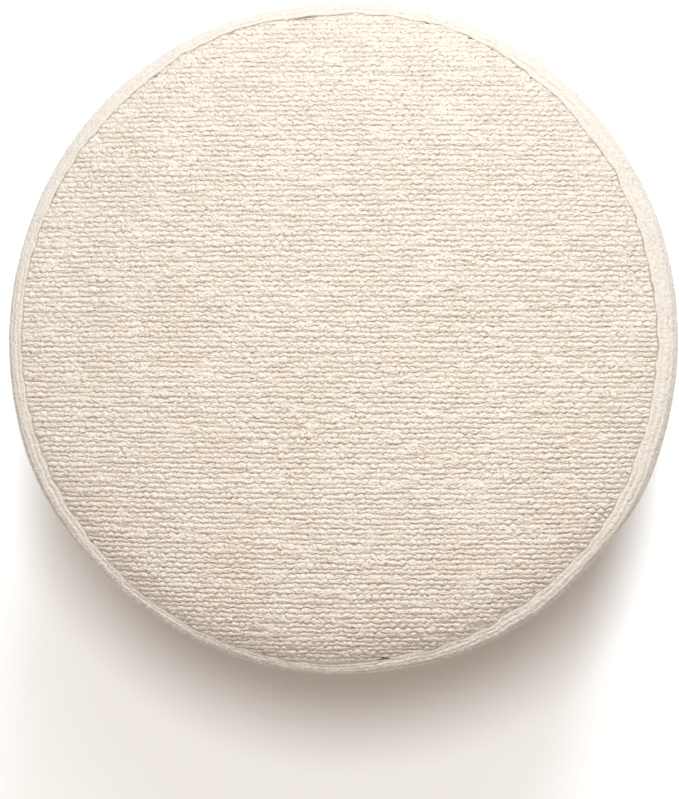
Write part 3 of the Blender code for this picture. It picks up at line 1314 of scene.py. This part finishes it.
@dataclass(frozen=True)
class LoopedWool:
    """Boucle: a soft wool and cotton yarn, spun with loops and woven in close rows.

    It is matt, with dark furrows between the rows, a surface of small nubs where the yarn curls,
    and a faint sheen from the fibre ends. The furrows, the creases between the nubs and the seam get painted
    shade, the tops of the nubs a painted highlight, and the band's worn smooth shoulder a painted sheen.
    """

    body: str = "C3B8AC"
    pale: str = "CAC2B8"  # painted highlight on the tops of the nubs
    shade: str = "8C7252"  # painted shade in the furrows and in the creases between the nubs, and the darker patches
    seam_shadow: str = "5F4429"  # painted shadow in the seam
    painted_sheen: str = "BAB3AB"  # painted sheen on the band's shoulder, where its loops are worn smooth
    painted_sheen_share: float = 1.2
    nap_calm: float = 0.7  # how much the brushing smooths the nubs
    pitch: float = 3.59 * MM
    roughness: float = 0.95
    sheen: float = 0.4
    nub: float = 1.35 * MM  # size of the nubs in the yarn
    nub_stray: float = 2 * MM  # how far they are out of line
    fibre: float = 0.8 * MM  # coarser than a real fibre, so that it shows
    patch: float = 45 * MM  # size of the stretches that are a little darker
    patch_shade: float = 0.07
    seam_dark_stretch: float = 8 * MM  # size of the stretches along which the seam's painted shade comes and goes
    row_depth: float = 0.25 * MM  # the rounding of a row's back
    nub_depth: float = 0.62 * MM
    fibre_depth: float = 0.16 * MM
    furrow_shade: float = 0.5  # how far the furrows' painted shade goes to the shade colour
    nub_shade: float = 0.4  # how far the creases' painted shade between the nubs does
    seam_line: float = 0.6 * MM  # how far from the seam its painted shade reaches
    seam_shade: float = 0.75  # how far the seam's painted shade goes to its painted shadow colour

    def make(self) -> bpy.types.Material:
        """Builds the material.

        Returns:
            The material, whose pattern follows the weave attribute.
        """
        nodes = Nodes("looped_wool")
        place = nodes.add("ShaderNodeAttribute", attribute_name=WEAVE).outputs["Vector"]
        traits = nodes.add("ShaderNodeAttribute", attribute_name=TRAITS).outputs["Vector"]
        traits = nodes.add("ShaderNodeSeparateXYZ", {0: traits}).outputs
        tone, edge, brushed_and_sheen = traits[0], traits[1], traits[2]
        across = nodes.add("ShaderNodeSeparateXYZ", {0: place}).outputs[2]
        phase = nodes.math("FRACT", nodes.math("DIVIDE", across, self.pitch))
        back = nodes.math("SINE", nodes.math("MULTIPLY", phase, math.pi))
        nubs = self._nubs(nodes, place)
        fibres = self._noise(nodes, place, self.fibre, 2.0)
        patches = self._noise(nodes, place, self.patch, 2.0)
        # Painted shade masks for the furrows and the creases between the nubs, mixed in below.
        low = nodes.math("MULTIPLY", nodes.math("MINIMUM", tone, 0.0), -1.0)
        high = nodes.math("MAXIMUM", tone, 0.0)
        furrow = nodes.math("MULTIPLY", nodes.math("MINIMUM", low, 1.0), self.furrow_shade)
        crease = nodes.math("MULTIPLY", nodes.ramp(nubs, 0.55, 0.1), self.nub_shade)
        # Painted highlight: the tops of the nubs go towards the pale colour.
        high = nodes.math("MULTIPLY", high, 0.4)
        light = nodes.math("MULTIPLY_ADD", nodes.ramp(nubs, 0.4, 0.95), 0.6, high)
        colour = nodes.mix(light, linear(self.body), linear(self.pale))
        patchy = nodes.math("MULTIPLY", nodes.ramp(patches, 0.3, 0.7), self.patch_shade)
        colour = nodes.mix(patchy, colour, linear(self.shade))
        rough = nodes.math("MULTIPLY_ADD", brushed_and_sheen, -self.nap_calm, 1.0)
        crease = nodes.math("MULTIPLY", crease, rough)
        # Painted shade in the furrows and the creases.
        colour = nodes.mix(nodes.math("MAXIMUM", furrow, crease), colour, linear(self.shade))
        # Painted sheen: the band's worn smooth shoulder goes towards a greyer colour.
        painted_sheen = nodes.math("MULTIPLY", brushed_and_sheen, self.painted_sheen_share)
        colour = nodes.mix(painted_sheen, colour, linear(self.painted_sheen))
        # Painted shade along the seam, in broken stretches.
        seam_dark_stretches = nodes.ramp(self._noise(nodes, place, self.seam_dark_stretch, 2.0), 0.36, 0.60)
        seam = nodes.math("MULTIPLY", nodes.ramp(edge, self.seam_line, 0.0), seam_dark_stretches)
        colour = nodes.mix(nodes.math("MULTIPLY", seam, self.seam_shade), colour, linear(self.seam_shadow))
        height = nodes.math("MULTIPLY", nodes.math("POWER", back, 0.5), self.row_depth / MM)
        height = nodes.math("MULTIPLY_ADD", nubs, self.nub_depth / MM, height)
        height = nodes.math("MULTIPLY_ADD", fibres, self.fibre_depth / MM, height)
        height = nodes.math("MULTIPLY", height, rough)
        bump = nodes.add("ShaderNodeBump", {"Height": height, "Distance": MM, "Strength": 1.0})
        nodes.tree.links.new(colour, nodes.shader.inputs["Base Color"])
        nodes.tree.links.new(bump.outputs["Normal"], nodes.shader.inputs["Normal"])
        return nodes.finish(
            {
                "Roughness": self.roughness,
                "Sheen Weight": self.sheen,
                "Sheen Roughness": 0.4,
                "Specular IOR Level": 0.15,
            }
        )

    def _nubs(self, nodes: Nodes, place: bpy.types.NodeSocket) -> bpy.types.NodeSocket:
        """Adds rounded nubs of yarn.

        Args:
            nodes: the material's nodes.
            place: the place in the cloth.

        Returns:
            A socket that is 1 in the middle of each nub, and about 0 in the creases.
        """
        stray = nodes.add("ShaderNodeTexNoise", {"Vector": place, "Scale": 1 / (3 * MM), "Detail": 1.0})
        moved = nodes.add(
            "ShaderNodeVectorMath",
            {0: stray.outputs["Color"], 1: (self.nub_stray,) * 3, 2: place},
            operation="MULTIPLY_ADD",
        )
        scaled = nodes.add(
            "ShaderNodeVectorMath",
            {0: moved.outputs[0], 1: (0.75 / self.nub, 0.75 / self.nub, 1.1 / self.nub)},
            operation="MULTIPLY",
        )
        cells = nodes.add("ShaderNodeTexVoronoi", {"Vector": scaled.outputs[0], "Scale": 1.0})
        away = cells.outputs["Distance"]
        round_off = nodes.math("MULTIPLY", nodes.math("MULTIPLY", away, away), -1.3)
        return nodes.math("ADD", round_off, 1.0)

    @staticmethod
    def _noise(
        nodes: Nodes, place: bpy.types.NodeSocket, size: float, detail: float
    ) -> bpy.types.NodeSocket:
        """Adds a noise of one real size."""
        noise = nodes.add("ShaderNodeTexNoise", {"Vector": place, "Scale": 1 / size, "Detail": detail})
        return noise.outputs["Fac"]


@dataclass(frozen=True)
class LooseFibre:
    """The single wool and cotton fibres that stand off the yarn: pale, and lit from behind too."""

    colour: str = "EFEBE6"
    through: float = 0.5  # the share of the light that goes through

    def make(self) -> bpy.types.Material:
        """Builds the material.

        Returns:
            The material, of one even colour.
        """
        nodes = Nodes("loose_fibre")
        colour = linear(self.colour)
        glow = nodes.add("ShaderNodeBsdfTranslucent", {"Color": colour})
        shaders = {0: self.through, 1: nodes.shader.outputs[0], 2: glow.outputs[0]}
        both = nodes.add("ShaderNodeMixShader", shaders)
        nodes.tree.links.new(both.outputs[0], nodes.tree.nodes["Material Output"].inputs["Surface"])
        return nodes.finish({"Base Color": colour, "Roughness": 0.8, "Specular IOR Level": 0.1})


@dataclass(frozen=True)
class PlainCotton:
    """Plain-woven cotton lining cloth, matt, with an even grain of threads."""

    colour: str = "D8CCB8"
    shade: str = "B9AA92"
    thread: float = 0.9 * MM  # between two threads, coarser than real ones, so that it shows
    thread_depth: float = 0.2 * MM

    def make(self) -> bpy.types.Material:
        """Builds the material.

        Returns:
            The material, on Object coordinates.
        """
        nodes = Nodes("plain_cotton")
        place = nodes.add("ShaderNodeTexCoord").outputs["Object"]
        parts = nodes.add("ShaderNodeSeparateXYZ", {0: place})
        warp, weft = (
            nodes.math("SINE", nodes.math("MULTIPLY", parts.outputs[axis], math.pi / self.thread))
            for axis in (0, 1)
        )
        weave = nodes.math("ABSOLUTE", nodes.math("MULTIPLY", warp, weft))
        noise = nodes.add("ShaderNodeTexNoise", {"Vector": place, "Scale": 60.0, "Detail": 4.0})
        tone = nodes.math("MULTIPLY_ADD", noise.outputs["Fac"], 0.35, 0.0)
        colour = nodes.mix(tone, linear(self.colour), linear(self.shade))
        relief = {"Height": weave, "Distance": self.thread_depth, "Strength": 0.8}
        bump = nodes.add("ShaderNodeBump", relief)
        nodes.tree.links.new(colour, nodes.shader.inputs["Base Color"])
        nodes.tree.links.new(bump.outputs["Normal"], nodes.shader.inputs["Normal"])
        return nodes.finish({"Roughness": 0.9})


@dataclass(frozen=True)
class SoftBox:
    """A soft light, placed by the directions and the distance at which the crown sees it."""

    name: str
    off: float  # how far from straight overhead, in degrees
    bearing: float  # towards which side, in degrees from +X
    distance: float
    size: float
    power: float
    colour: tuple[float, float, float] = (1.0, 1.0, 1.0)

    def add(self, aim: Vector) -> None:
        """Adds the light, turned to face the crown.

        Args:
            aim: the middle of the crown.
        """
        data = bpy.data.lights.new(self.name, "AREA")
        data.shape = "DISK"
        data.size = self.size
        data.energy = self.power
        data.color = self.colour
        box = bpy.data.objects.new(self.name, data)
        bpy.context.scene.collection.objects.link(box)
        off, bearing = math.radians(self.off), math.radians(self.bearing)
        side = math.sin(off)
        away = Vector((side * math.cos(bearing), side * math.sin(bearing), math.cos(off)))
        box.location = aim + away * self.distance
        box.rotation_euler = away.to_track_quat("Z", "Y").to_euler()
        box.visible_camera = False


@dataclass
class Studio:
    """The pale floor, the soft lights and the camera."""

    shape: DrumShape
    camera_distance: float = 2.0  # over the top of the crown
    camera_lean: float = math.radians(3.2)  # towards +X, so that more of the band shows there
    seen: float = 0.5733  # what the camera's longer side takes in, at the height of the seam
    shift_x: float = 0.0011
    shift_y: float = -0.0776
    floor_colour: str = "FAFBFC"
    sky_colour: tuple[float, float, float, float] = (1.0, 0.84, 0.71, 1.0)  # warmed by the cloth
    sky_strength: float = 0.44
    lights: tuple[SoftBox, ...] = (
        SoftBox("overhead", 8.5, 75, 2.4, 0.5, 43.5, (0.98, 0.99, 1.0)),
        SoftBox("halfway", 30, 80, 2.4, 0.8, 14.5, (0.95, 1.0, 0.98)),
        SoftBox("far_side", 52, 78, 2.4, 0.9, 57, (0.86, 0.96, 1.04)),
    )

    def build(self) -> None:
        """Adds the floor, the lights, the world and the camera."""
        self._floor()
        for light in self.lights:
            light.add(Vector((0, 0, self.shape.height)))
        self._sky()
        self._camera()
        bpy.context.scene.view_settings.view_transform = "Standard"

    def _floor(self) -> None:
        """A plain white floor, wide enough for every view."""
        deselect()
        bpy.ops.mesh.primitive_plane_add(size=12, location=(0, 0, 0))
        floor = bpy.context.object
        floor.name = "floor"
        nodes = Nodes("painted_board")
        colour = linear(self.floor_colour)
        board = nodes.finish({"Base Color": colour, "Roughness": 0.8, "Specular IOR Level": 0.2})
        floor.data.materials.append(board)
        deselect()

    def _sky(self) -> None:
        """An even, faintly warm light from all round."""
        world = bpy.data.worlds.new("studio")
        world.use_nodes = True
        sky = world.node_tree.nodes["Background"]
        sky.inputs["Color"].default_value = self.sky_colour
        sky.inputs["Strength"].default_value = self.sky_strength
        bpy.context.scene.world = world

    def _camera(self) -> None:
        """A long lens almost straight above."""
        camera = bpy.data.cameras.new("camera")
        camera.sensor_width = 36.0
        camera.lens = camera.sensor_width * self.camera_distance / self.seen
        camera.shift_x = self.shift_x
        camera.shift_y = self.shift_y
        obj = bpy.data.objects.new("camera", camera)
        bpy.context.scene.collection.objects.link(obj)
        away = Vector((math.sin(self.camera_lean), 0, math.cos(self.camera_lean)))
        obj.location = Vector((0, 0, self.shape.seam_height)) + away * self.camera_distance
        obj.rotation_euler = (0, self.camera_lean, 0)
        bpy.context.scene.camera = obj


def dress(
    obj: bpy.types.Object,
    material: bpy.types.Material,
    node: str | None = None,
) -> None:
    """Gives a finished piece its material and its place in the frame, and reports it.

    Args:
        obj: the piece.
        material: its finish.
        node: the CAD node that the piece stands for, if it does.
    """
    obj.data.materials.append(material)
    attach(obj, BODY)
    if node is not None:
        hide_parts(node)
    obj.data.calc_loop_triangles()
    LOG.info("%s has %d triangles", obj.name, len(obj.data.loop_triangles))


def main() -> None:
    """Builds the ottoman's looks around the frame."""
    logging.basicConfig(level=logging.INFO, format="%(message)s", stream=sys.stdout)
    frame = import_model()
    look = Look.FULL
    nodes = frame["nodes"]
    shape = DrumShape(
        height=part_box("top_panel")[1].z,
        seam_height=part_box("top_panel")[0].z + CLOTH,
        seam=Outline(nodes["top_panel"], ease=0.3 * MM, wobble=0.45 * MM),
        wall=Outline(nodes["side_band"], ease=-4.1 * MM, shift=1.3 * MM),
    )
    padding = Padding(shape)
    if look is Look.FULL:
        padding.swell_up([nodes["side_band"], nodes["top_panel"]])
        LOG.info("the filling lifts the top by up to %.1f mm", padding.lift_table.max() / MM)
        LOG.info("and swells the band by up to %.1f mm", padding.swell_table.max() / MM)
    yarn = LoopedYarn()
    wool = LoopedWool(pitch=yarn.pitch).make()
    cotton = PlainCotton().make()

    top = TopCover(shape, padding, yarn)
    dress(top.build(), wool, "top_panel")
    side = SideCover(shape, padding, yarn)
    dress(side.build(), wool, "side_band")
    spots = top.spots()
    LOG.info("the top panel has %d loops of yarn", len(spots.points))
    fibre = LooseFibre().make()
    picked = spots.part(Chance(33).source.integers(0, len(spots.points), TOP_FIBRES))
    dress(Fuzz().spread("top_fuzz", picked), fibre)
    spots = side.spots()
    LOG.info("the band has %d loops of yarn", len(spots.points))
    spots = spots.part(np.flatnonzero(spots.places[:, 2] < FUZZY_ROWS * yarn.pitch))
    picked = spots.part(Chance(43).source.integers(0, len(spots.points), RIM_FIBRES))
    shag = Fuzz(length=2.1 * MM, width=0.17 * MM)
    dress(shag.spread("rim_fuzz", picked), fibre)

    base = BaseCover(*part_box("base_panel")).build()
    dress(base, cotton, "base_panel")

    Studio(shape).build()


if __name__ == "__main__":
    main()
